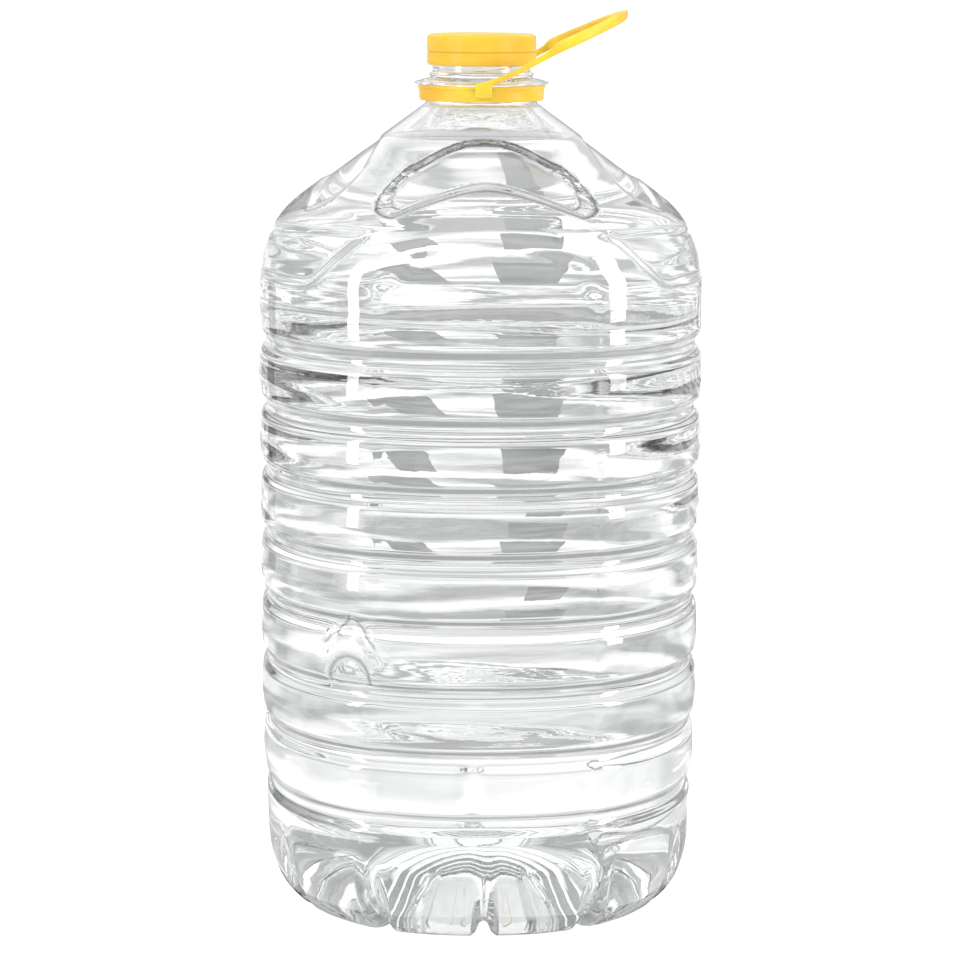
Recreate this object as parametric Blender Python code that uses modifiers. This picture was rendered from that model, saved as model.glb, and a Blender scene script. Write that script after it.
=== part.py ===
"""A large clear water bottle, filled and capped, with a carry handle snapped round its neck.

The origin is on the floor under the bottle's axis. The front is towards -Y and the handle
leans towards +X.
"""

import math

import bmesh
import bpy

COLLECTION = "Water_Bottle"
CUTTERS = "Water_Bottle_Cutters"

SIDES = 36
WALL = 0.0010
GAP = 0.0003

# Body, from the floor up.
BODY_RADIUS = 0.1020
SQUARENESS = 2.3
SQUARE_UP_TO = 0.300
ROUND_FROM = 0.365
RIB_LOWEST = 0.0573
RIB_PITCH = 0.0296
RIB_COUNT = 8
RIB_HALF_WIDTH = 0.0046
RIB_DEPTH = 0.0024
SHOULDER_START = 0.2938
SHOULDER_ROUND = 0.0450
SHOULDER_CONE = 0.3302
CONE_FOOT = (0.0280, 0.3705)
CONE_SLOPE = 0.7265

# Crescent hollows of the shoulder: deep on the front and back, shallow on the sides.
CRESCENT_HALF_ANGLE = 36.0
CRESCENT_TIP = 0.3296
CRESCENT_TOP = 0.3580
CRESCENT_LOW = 0.3400
CRESCENT_DEPTH = 0.0062
SIDE_CRESCENT_DEPTH = 0.0020

# Leaf-shaped hollows on the four corners of the shoulder.
LEAF_ANGLE = 53.0
LEAF_HALF_ANGLE = 21.0
LEAF_TOP = 0.3215
LEAF_LOW = 0.2945
LEAF_DEPTH = 0.0020

# One knock in the wall, low on the front left.
DENT_ANGLE = -35.0
DENT_HEIGHT = 0.1310
DENT_REACH = (11.0, 0.0120)
DENT_DEPTH = 0.0042

# Foot ring, cut into twelve feet.
FOOT_COUNT = 12
FOOT_OUTER = 0.0800
FOOT_INNER = 0.0620
FOOT_FLAT = 7.0
GROOVE_TOP = 0.0470
GROOVE_PUSH = 0.0042
GROOVE_LIFT = 0.0065
DOME_HEIGHT = 0.0280

# Neck, with its support flange.
NECK_RADIUS = 0.0226
NECK_BORE = 0.0202
NECK_ROOT = 0.0250
BEAD_RADIUS = 0.0242
BEAD_HEIGHT = 0.3852
FLANGE_RADIUS = 0.0310
FLANGE_UNDER = 0.3808
LIP_HEIGHT = 0.4016
WATER_LEVEL = 0.3570

# Screw cap.
CAP_RADIUS = 0.0251
CAP_BOTTOM = 0.3894
CAP_TOP = 0.4038
CAP_LID = 0.0019
BAND_LINE = 0.3955

# Handle: a ring under the flange, two lugs and a bail that leans outwards.
RING_TOP = 0.3805
RING_BOTTOM = 0.3735
RING_OUTER_TOP = 0.0295
RING_OUTER_BOTTOM = 0.0286
LUG_HALF_LENGTH = 0.0042
LUG_BOTTOM = 0.3752
STRAP_INNER = 0.0313
STRAP_OUTER = 0.0331
BAIL_TIP = 0.0669
BAIL_BEND = 0.0330
GRIP_WIDTH = 0.0050


def clear_scene():
    for obj in list(bpy.data.objects):
        bpy.data.objects.remove(obj, do_unlink=True)


def new_collection(name, hidden=False):
    collection = bpy.data.collections.new(name)
    bpy.context.scene.collection.children.link(collection)
    collection.hide_render = hidden
    return collection


def material(name, color, roughness, metallic=0.0, alpha=1.0, transmission=0.0):
    made = bpy.data.materials.new(name)
    made.use_nodes = True
    shader = made.node_tree.nodes["Principled BSDF"]
    shader.inputs["Base Color"].default_value = (*color, 1.0)
    shader.inputs["Roughness"].default_value = roughness
    shader.inputs["Metallic"].default_value = metallic
    shader.inputs["Alpha"].default_value = alpha
    shader.inputs["Transmission Weight"].default_value = transmission
    made.diffuse_color = (*color, alpha)
    return made


def clear_plastic():
    return material("Clear_Plastic", (0.93, 0.95, 0.95), 0.05, alpha=0.35, transmission=1.0)


def drinking_water():
    return material("Drinking_Water", (0.90, 0.94, 0.96), 0.02, alpha=0.45, transmission=1.0)


def yellow_plastic(name):
    return material(name, (0.94, 0.60, 0.03), 0.38)


def step(value, start, end):
    """0 before start, 1 after end, and smooth between them."""
    share = min(max((value - start) / (end - start), 0.0), 1.0)
    return share * share * (3.0 - 2.0 * share)


def body_radius(height):
    """Radius of the plain body, before its ribs and hollows."""
    if height >= SHOULDER_CONE:
        return CONE_FOOT[0] + (CONE_FOOT[1] - height) / CONE_SLOPE
    if height >= SHOULDER_START:
        centre = BODY_RADIUS - SHOULDER_ROUND
        return centre + math.sqrt(SHOULDER_ROUND**2 - (height - SHOULDER_START) ** 2)
    taper = 0.0018 * (1.0 - step(height, 0.020, 0.120))
    return BODY_RADIUS - taper


def body_heights():
    """Heights of the body's rings, from the shoulder's top down to the lowest rib."""
    heights = [0.3705, 0.3645, 0.35805, 0.3545, 0.3485, 0.3420, 0.3355, 0.3300]
    heights += [0.3240, 0.3170, 0.3090, 0.3010, 0.2938, 0.2810]
    for index in reversed(range(RIB_COUNT)):
        middle = RIB_LOWEST + index * RIB_PITCH
        heights += [middle + RIB_HALF_WIDTH, middle, middle - RIB_HALF_WIDTH]
        if abs(middle - RIB_PITCH / 2.0 - DENT_HEIGHT) < 0.004:
            heights.append(DENT_HEIGHT)
    return heights


def rib_depth(height):
    """Depth of the rib groove at this height."""
    nearest = round((height - RIB_LOWEST) / RIB_PITCH)
    nearest = min(max(nearest, 0), RIB_COUNT - 1)
    away = abs(height - RIB_LOWEST - nearest * RIB_PITCH)
    return RIB_DEPTH * max(0.0, 1.0 - away / RIB_HALF_WIDTH)


def neck_profile():
    """The outer side of the neck, from the lip down to the shoulder."""
    return [
        (NECK_RADIUS - 0.0005, LIP_HEIGHT),
        (NECK_RADIUS, LIP_HEIGHT - 0.0005),
        (NECK_RADIUS, BEAD_HEIGHT + 0.0008),
        (BEAD_RADIUS, BEAD_HEIGHT + 0.0003),
        (BEAD_RADIUS, BEAD_HEIGHT - 0.0003),
        (NECK_RADIUS + 0.0002, BEAD_HEIGHT - 0.0010),
        (FLANGE_RADIUS, FLANGE_UNDER + 0.0012),
        (FLANGE_RADIUS, FLANGE_UNDER),
        (NECK_ROOT, FLANGE_UNDER),
        (NECK_ROOT, 0.3734),
    ]


def base_profile():
    """The outer side from below the lowest rib to the middle of the base."""
    return [
        (0.1002, 0.0400),
        (0.0998, 0.0290),
        (0.0982, 0.0195),
        (0.0940, 0.0098),
        (0.0880, 0.0032),
        (FOOT_OUTER, 0.0),
        (FOOT_INNER, 0.0),
        (0.0540, 0.0060),
        (0.0380, 0.0180),
        (0.0180, 0.0260),
        (0.0, DOME_HEIGHT),
    ]


def body_profile():
    """The outer side from the foot of the neck to the middle of the base."""
    sides = [(body_radius(z) - rib_depth(z), z) for z in body_heights()]
    return sides + base_profile()


def inset(profile, distance):
    """The profile moved inwards by this distance, square to its own line."""
    moved = []
    for index, (radius, height) in enumerate(profile):
        before = profile[max(index - 1, 0)]
        after = profile[min(index + 1, len(profile) - 1)]
        first = direction(before, (radius, height)) or direction((radius, height), after)
        second = direction((radius, height), after) or first
        across = (first[0] + second[0], first[1] + second[1])
        length = math.hypot(*across)
        across = (across[0] / length, across[1] / length)
        share = across[0] * first[0] + across[1] * first[1]
        reach = distance / max(share, 0.6)
        if radius == 0.0:
            moved.append((0.0, height + distance))
        else:
            moved.append((radius + across[1] * reach, height - across[0] * reach))
    return moved


def direction(start, end):
    """Unit vector from one profile point to the next, or None where they are one point."""
    length = math.hypot(end[0] - start[0], end[1] - start[1])
    if length == 0.0:
        return None
    return ((end[0] - start[0]) / length, (end[1] - start[1]) / length)


def folded(angle):
    """The angle from the nearer of the front and back, 0 to 90 degrees."""
    away = abs(angle) % 180.0
    return min(away, 180.0 - away)


def square_factor(angle, height):
    """How much wider than a round the body is in this direction."""
    side = math.radians(angle)
    power = abs(math.cos(side)) ** SQUARENESS + abs(math.sin(side)) ** SQUARENESS
    full = power ** (-1.0 / SQUARENESS) - 1.0
    share = min(max((ROUND_FROM - height) / (ROUND_FROM - SQUARE_UP_TO), 0.0), 1.0)
    return 1.0 + full * share


def crescent_depth(angle, height):
    """Depth of the crescent hollow, deepest just below its upper edge."""
    turn = folded(angle)
    depth = CRESCENT_DEPTH if turn < 45.0 else SIDE_CRESCENT_DEPTH
    away = min(turn, 90.0 - turn) / CRESCENT_HALF_ANGLE
    if away >= 1.0:
        return 0.0
    top = CRESCENT_TIP + (CRESCENT_TOP - CRESCENT_TIP) * (1.0 - away**2.2)
    low = CRESCENT_TIP - 0.004 + (CRESCENT_LOW - CRESCENT_TIP + 0.004) * (1.0 - away**1.8)
    if not low < height < top:
        return 0.0
    share = (height - low) / (top - low)
    return depth * min(share / 0.7, (1.0 - share) / 0.15, 1.0)


def leaf_depth(angle, height):
    """Depth of the leaf hollow at a corner of the shoulder."""
    away = abs(folded(angle) - LEAF_ANGLE) / LEAF_HALF_ANGLE
    if away >= 1.0:
        return 0.0
    middle = (LEAF_TOP + LEAF_LOW) / 2.0
    half = (LEAF_TOP - LEAF_LOW) / 2.0 * math.sqrt(1.0 - away)
    share = abs(height - middle) / half
    return LEAF_DEPTH * max(0.0, 1.0 - share**4)


def dent_depth(angle, height):
    """Depth of the knock in the wall."""
    across = (angle - DENT_ANGLE) / DENT_REACH[0]
    along = (height - DENT_HEIGHT) / DENT_REACH[1]
    return DENT_DEPTH * max(0.0, 1.0 - math.hypot(across, along))


def foot_groove(angle, radius, height):
    """How far a groove between two feet goes in and up at this place."""
    pitch = 360.0 / FOOT_COUNT
    away = abs((angle + pitch / 2.0) % pitch - pitch / 2.0)
    share = max(0.0, 1.0 - away / FOOT_FLAT)
    push = GROOVE_PUSH * share * (1.0 - step(height, 0.004, GROOVE_TOP))
    lift = GROOVE_LIFT * share * step(radius, 0.036, 0.060) * (1.0 - step(height, 0.002, 0.030))
    return push * step(radius, 0.050, 0.070), lift


def foot_turn(angle, radius, height):
    """Narrows the grooves near the floor, so that each foot is wider than its groove."""
    share = (1.0 - step(height, 0.012, 0.040)) * step(radius, 0.030, 0.060)
    return angle - 3.0 * share * math.sin(math.radians(angle * FOOT_COUNT))


def reshape(mesh, rings):
    """Moves each point of a turned mesh to its place on the bottle.

    rings gives, for a point's own radius and height, the outer side's radius and height there.
    """
    for vertex in mesh.vertices:
        radius = math.hypot(vertex.co.x, vertex.co.y)
        key = (round(radius * 1e5), round(vertex.co.z * 1e5))
        if key not in rings or radius < 1e-6:
            continue
        outer_radius, outer_height = rings[key]
        angle = math.degrees(math.atan2(vertex.co.x, -vertex.co.y))
        hollow = crescent_depth(angle, outer_height) + leaf_depth(angle, outer_height)
        hollow += dent_depth(angle, outer_height)
        angle = foot_turn(angle, outer_radius, outer_height)
        push, lift = foot_groove(angle, outer_radius, outer_height)
        reach = radius * square_factor(angle, outer_height) - hollow - push
        turn = math.radians(angle)
        vertex.co.x = reach * math.sin(turn)
        vertex.co.y = -reach * math.cos(turn)
        vertex.co.z += lift


def turned(name, profile, collection, closed=False, sides=SIDES):
    """A solid turned about Z from a profile of (radius, height) points."""
    mesh = bpy.data.meshes.new(name + "_Profile")
    count = len(profile)
    edges = [(index, index + 1) for index in range(count - 1)]
    if closed:
        edges.append((count - 1, 0))
    mesh.from_pydata([(radius, 0.0, height) for radius, height in profile], edges, [])
    obj = bpy.data.objects.new(name, mesh)
    collection.objects.link(obj)
    screw = obj.modifiers.new("Turn", "SCREW")
    screw.axis = "Z"
    screw.angle = math.tau
    screw.steps = sides
    screw.render_steps = sides
    screw.use_merge_vertices = True
    screw.merge_threshold = 0.00001
    return obj


def made_mesh(obj):
    """Puts the object's evaluated shape in place of its modifiers."""
    graph = bpy.context.evaluated_depsgraph_get()
    mesh = bpy.data.meshes.new_from_object(obj.evaluated_get(graph))
    obj.modifiers.clear()
    obj.data = mesh
    return mesh


def tidy_mesh(mesh):
    """Welds a mesh, turns its faces outwards and splits its bent faces the short way."""
    work = bmesh.new()
    work.from_mesh(mesh)
    bmesh.ops.remove_doubles(work, verts=work.verts, dist=0.000005)
    bmesh.ops.triangulate(work, faces=work.faces, quad_method="SHORT_EDGE")
    bmesh.ops.recalc_face_normals(work, faces=work.faces)
    work.to_mesh(mesh)
    work.free()


def ring_table(profiles, outer):
    """For each point of these profiles, the matching point of the outer side."""
    table = {}
    for profile in profiles:
        for (radius, height), place in zip(profile, outer):
            table[(round(radius * 1e5), round(height * 1e5))] = place
    return table


def finish(obj, look):
    """Gives the object its material and smooth shading with sharp edges kept."""
    obj.data.materials.clear()
    obj.data.materials.append(look)
    obj.data.shade_smooth()
    obj.data.set_sharp_from_angle(angle=math.radians(35.0))


def make_bottle(collection):
    """The clear shell: one wall from the lip to the domed base, with the neck's flange."""
    outer = body_profile()
    inner = inset(outer, WALL)
    bore = [(NECK_BORE, 0.3760), (NECK_BORE, LIP_HEIGHT)]
    profile = list(reversed(inner)) + bore + neck_profile() + outer
    obj = turned("bottle", profile, collection)
    mesh = made_mesh(obj)
    reshape(mesh, ring_table([inner, outer], outer))
    tidy_mesh(mesh)
    finish(obj, clear_plastic())
    return obj


def make_water(collection):
    """The water: a solid that follows the wall's inner side up to the water line."""
    outer = body_profile()
    side = inset(outer, WALL + GAP)
    start = next(index for index, point in enumerate(side) if point[1] < WATER_LEVEL + 0.0002)
    wet = side[start:]
    profile = [(0.0, wet[0][1])] + wet
    obj = turned("water", profile, collection)
    mesh = made_mesh(obj)
    reshape(mesh, ring_table([wet], outer[start:]))
    tidy_mesh(mesh)
    finish(obj, drinking_water())
    return obj


def make_cap(collection):
    """The screw cap, open below, with the line above its tamper band."""
    inside = NECK_RADIUS + GAP
    lid = CAP_TOP - CAP_LID
    profile = [
        (0.0, CAP_TOP),
        (CAP_RADIUS - 0.0016, CAP_TOP),
        (CAP_RADIUS - 0.0005, CAP_TOP - 0.0005),
        (CAP_RADIUS, CAP_TOP - 0.0016),
        (CAP_RADIUS, BAND_LINE + 0.0004),
        (CAP_RADIUS - 0.0004, BAND_LINE),
        (CAP_RADIUS, BAND_LINE - 0.0004),
        (CAP_RADIUS, CAP_BOTTOM + 0.0004),
        (CAP_RADIUS - 0.0004, CAP_BOTTOM),
        (inside, CAP_BOTTOM),
        (inside, lid),
        (0.0, lid),
    ]
    obj = turned("cap", profile, collection)
    tidy_mesh(made_mesh(obj))
    finish(obj, yellow_plastic("Yellow_Cap_Plastic"))
    return obj


def outline_solid(name, points, half_depth, collection, upright=False):
    """A flat outline with a depth, lying in XY or standing in XZ."""
    curve = bpy.data.curves.new(name, "CURVE")
    curve.dimensions = "2D"
    curve.fill_mode = "BOTH"
    curve.extrude = half_depth
    spline = curve.splines.new("POLY")
    spline.points.add(len(points) - 1)
    for point, (across, along) in zip(spline.points, points):
        point.co = (across, along, 0.0, 1.0)
    spline.use_cyclic_u = True
    drawn = bpy.data.objects.new(name + "_Outline", curve)
    collection.objects.link(drawn)
    graph = bpy.context.evaluated_depsgraph_get()
    mesh = bpy.data.meshes.new_from_object(drawn.evaluated_get(graph))
    bpy.data.objects.remove(drawn, do_unlink=True)
    work = bmesh.new()
    work.from_mesh(mesh)
    bmesh.ops.remove_doubles(work, verts=work.verts, dist=0.000005)
    bmesh.ops.recalc_face_normals(work, faces=work.faces)
    work.to_mesh(mesh)
    work.free()
    obj = bpy.data.objects.new(name, mesh)
    collection.objects.link(obj)
    if upright:
        obj.rotation_euler.x = math.pi / 2.0
    return obj


def bail_side():
    """The bail seen from the front: root, thin strap, then the deeper grip."""
    lower = [(-LUG_HALF_LENGTH, LUG_BOTTOM), (LUG_HALF_LENGTH, LUG_BOTTOM), (0.0052, 0.3812)]
    lower += [(0.0124, 0.3848), (0.0245, 0.3910), (0.0330, 0.3954), (0.0662, 0.4102)]
    tip = [(0.0669, 0.4122), (0.0660, 0.4138), (0.0638, 0.4143), (0.0609, 0.4130)]
    upper = [(0.0395, 0.4034), (0.0332, 0.4008), (0.0312, 0.3990), (0.0302, 0.3965)]
    root = [(0.0245, 0.3934), (0.0124, 0.3872), (0.0066, 0.3842), (0.0030, 0.3830)]
    return lower + tip + upper + root + [(-0.0034, 0.3826)]


def bail_plan():
    """The bail seen from above: two straps that join in a round grip."""
    steps = 14
    turns = [math.pi * (index / steps - 0.5) for index in range(steps + 1)]
    long_way = BAIL_TIP - BAIL_BEND
    outer = [(BAIL_BEND + long_way * math.cos(t), STRAP_OUTER * math.sin(t)) for t in turns]
    inner_long = long_way - GRIP_WIDTH
    inner_wide = STRAP_OUTER - GRIP_WIDTH
    inner = [(BAIL_BEND + inner_long * math.cos(t), inner_wide * math.sin(t)) for t in turns]
    start = -LUG_HALF_LENGTH - 0.002
    shape = [(start, -STRAP_OUTER)] + outer + [(start, STRAP_OUTER)]
    shape += [(start, STRAP_INNER), (BAIL_BEND - 0.006, STRAP_INNER)]
    shape += list(reversed(inner))
    return shape + [(BAIL_BEND - 0.006, -STRAP_INNER), (start, -STRAP_INNER)]


def boolean(obj, other, operation):
    modifier = obj.modifiers.new(operation.title(), "BOOLEAN")
    modifier.operation = operation
    modifier.solver = "EXACT"
    modifier.object = other


def make_lug(name, side, collection):
    """A block that joins the ring to one strap."""
    outer = (STRAP_OUTER - 0.0004) * side
    inner = 0.0275 * side
    bpy.ops.mesh.primitive_cube_add(size=1.0)
    lug = bpy.context.active_object
    lug.name = name
    for owner in list(lug.users_collection):
        owner.objects.unlink(lug)
    collection.objects.link(lug)
    top = RING_TOP - 0.0002
    lug.scale = (2.0 * LUG_HALF_LENGTH - 0.0008, abs(outer - inner), top - LUG_BOTTOM - 0.0004)
    lug.location = (0.0, (outer + inner) / 2.0, (top + LUG_BOTTOM + 0.0004) / 2.0)
    return lug


def make_handle(collection, cutters):
    """The handle: one moulding of ring, lugs and bail."""
    inside = NECK_ROOT + GAP
    profile = [
        (inside, RING_TOP),
        (RING_OUTER_TOP - 0.0003, RING_TOP),
        (RING_OUTER_TOP, RING_TOP - 0.0004),
        (RING_OUTER_TOP, RING_TOP - 0.0012),
        (RING_OUTER_TOP - 0.0005, RING_TOP - 0.0018),
        (RING_OUTER_BOTTOM, RING_BOTTOM + 0.0004),
        (RING_OUTER_BOTTOM - 0.0004, RING_BOTTOM),
        (inside, RING_BOTTOM),
    ]
    obj = turned("handle", profile, collection, closed=True)
    tidy_mesh(made_mesh(obj))
    side = outline_solid("Bail_Side", bail_side(), 0.040, cutters, upright=True)
    plan = outline_solid("Bail_Plan", bail_plan(), 0.060, cutters)
    plan.location.z = 0.395
    boolean(side, plan, "INTERSECT")
    lugs = [make_lug("Lug_Front", -1.0, cutters), make_lug("Lug_Back", 1.0, cutters)]
    for piece in [*lugs, side]:
        boolean(obj, piece, "UNION")
    for piece in [side, plan, *lugs]:
        piece.hide_render = True
        piece.display_type = "WIRE"
    finish(obj, yellow_plastic("Yellow_Handle_Plastic"))
    return obj


def main():
    clear_scene()
    parts = new_collection(COLLECTION)
    cutters = new_collection(CUTTERS, hidden=True)
    make_bottle(parts)
    make_water(parts)
    make_cap(parts)
    make_handle(parts, cutters)


main()
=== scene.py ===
"""Dresses the large water bottle: clear ribbed shell, water, screw cap and carry handle.

Each sub-assembly is a class that holds its sizes and builds its own mesh, each finish is a
class that builds its own material, and the studio holds floor, lights and camera.
"""

from __future__ import annotations

import logging
import math
from dataclasses import dataclass, field, replace
from enum import Enum
from functools import partial
from typing import Callable, Sequence

import bmesh
import bpy
from mathutils import Matrix, Vector


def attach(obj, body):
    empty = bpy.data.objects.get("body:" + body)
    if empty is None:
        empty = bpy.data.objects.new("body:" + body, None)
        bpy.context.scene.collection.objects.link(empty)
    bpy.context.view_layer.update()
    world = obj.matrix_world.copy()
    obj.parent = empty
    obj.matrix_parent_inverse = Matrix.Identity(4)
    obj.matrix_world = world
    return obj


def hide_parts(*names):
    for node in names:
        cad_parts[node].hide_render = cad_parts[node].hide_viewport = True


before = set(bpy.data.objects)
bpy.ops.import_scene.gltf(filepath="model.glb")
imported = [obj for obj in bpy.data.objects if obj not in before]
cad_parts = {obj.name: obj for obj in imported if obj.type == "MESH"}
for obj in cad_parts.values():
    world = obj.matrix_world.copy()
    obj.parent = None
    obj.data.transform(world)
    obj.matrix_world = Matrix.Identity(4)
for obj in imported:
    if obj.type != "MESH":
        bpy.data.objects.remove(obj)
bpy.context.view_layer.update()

logging.basicConfig(level=logging.INFO, format="%(message)s")
LOG = logging.getLogger("water_bottle")

TINY = 1e-6
TENTH = 0.0001
# Painted shade: the near-black that the crescent rims and the knock are tinted towards, standing in
# for the dark lines that refraction shows there.
PAINTED_RIM_SHADE = (0.05, 0.053, 0.055)

# Short names for the types that are used most.
Profile = list[tuple[float, float]]
Curve = tuple[tuple[float, float], ...]
Triple = tuple[float, float, float]
Color = Triple
Stops = Sequence[tuple[float, Color]]
Stop = tuple[Vector, Vector, float]
Mover = Callable[[float, float, float], Vector]
Pair = tuple[float, float]
Thing = bpy.types.Object
Socket = bpy.types.NodeSocket
Value = Socket | float
Mesh = bmesh.types.BMesh


class Layer(Enum):
    """The surfaces that share the bottle's form, with how far inside the outer side each lies."""

    OUTER = 0.0
    WATER = 0.00030
    INNER = 0.00060


def smooth(value: float, start: float, end: float) -> float:
    """Eases from 0 to 1 between two values.

    Args:
        value: The value to read.
        start: Where the result leaves 0.
        end: Where the result reaches 1.

    Returns:
        A share from 0 to 1.
    """
    share = min(max((value - start) / (end - start), 0.0), 1.0)
    return share * share * (3.0 - 2.0 * share)


def chamfer(value: float, width: float) -> float:
    """Rises from 0 at nothing to 1 at a width, in a straight line with short rounded ends."""
    share = min(max(value / width, 0.0), 1.0)
    return 0.7 * share + 0.3 * share * share * (3.0 - 2.0 * share)


def at_bearing(angle: float, reach: float, height: float) -> Vector:
    """The point at an angle in degrees from the front, a reach and a height."""
    turn = math.radians(angle)
    return Vector((reach * math.sin(turn), -reach * math.cos(turn), height))


def grey(shade: float) -> Color:
    """A plain grey, from 0 for black to 1 for white."""
    return (shade, shade, shade)


def beside(radius: float, height: float, *offsets: tuple[int, int]) -> Profile:
    """Profile points beside a corner, by offsets in tenths of a millimetre."""
    return [(radius + out * TENTH, height + up * TENTH) for out, up in offsets]


def curve_through(points: Profile, pitch: float) -> Profile:
    """Reads a smooth line through profile points.

    Args:
        points: Radius and height of each point, in order.
        pitch: Distance between the points that are returned.

    Returns:
        Points on a centripetal-like curve through them, ends kept.
    """
    line: Profile = []
    count = len(points)
    for index in range(count - 1):
        p0 = Vector(points[max(index - 1, 0)])
        p1 = Vector(points[index])
        p2 = Vector(points[index + 1])
        p3 = Vector(points[min(index + 2, count - 1)])
        steps = max(1, round((p2 - p1).length / pitch))
        pull_in = (p2 - p0) * 0.5 * min(1.0, (p2 - p1).length / max((p1 - p0).length, TINY))
        pull_out = (p3 - p1) * 0.5 * min(1.0, (p2 - p1).length / max((p3 - p2).length, TINY))
        for step in range(steps):
            t = step / steps
            place = p1 * (2 * t**3 - 3 * t**2 + 1) + pull_in * (t**3 - 2 * t**2 + t)
            place += p2 * (-2 * t**3 + 3 * t**2) + pull_out * (t**3 - t**2)
            line.append((place.x, place.y))
    line.append(points[-1])
    return line


@dataclass(frozen=True)
class CrescentEdge:
    """One edge of a shoulder crescent: a bent line out to a turn, then a rounded end."""

    middle: float
    drop: float
    power: float
    turn: float
    end_wide: float
    end_tall: float
    level: float = 0.3360

    def height(self, away: float) -> float:
        """The edge's height at an angle in degrees from the crescent's middle."""
        if away <= self.turn:
            return self.middle - self.drop * (away / self.turn) ** self.power
        share = max(0.0, 1.0 - ((away - self.turn) / self.end_wide) ** 2)
        return self.level + self.end_tall * math.sqrt(share)


@dataclass(frozen=True)
class Knock:
    """The knock in the wall: a peaked fold above a half-round crease."""

    bearing: float = -35.0
    peak: float = 0.1500
    slope: float = 1.05
    bowl_wide: float = 0.0098
    bowl_tall: float = 0.0105
    bowl_level: float = 0.1215


TOP_EDGE = CrescentEdge(0.3574, 0.0102, 2.6, 31.0, 5.0, 0.0112)
LOW_EDGE = CrescentEdge(0.3376, 0.0112, 1.75, 27.4, 8.6, -0.0096)
KNOCK = Knock()


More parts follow.
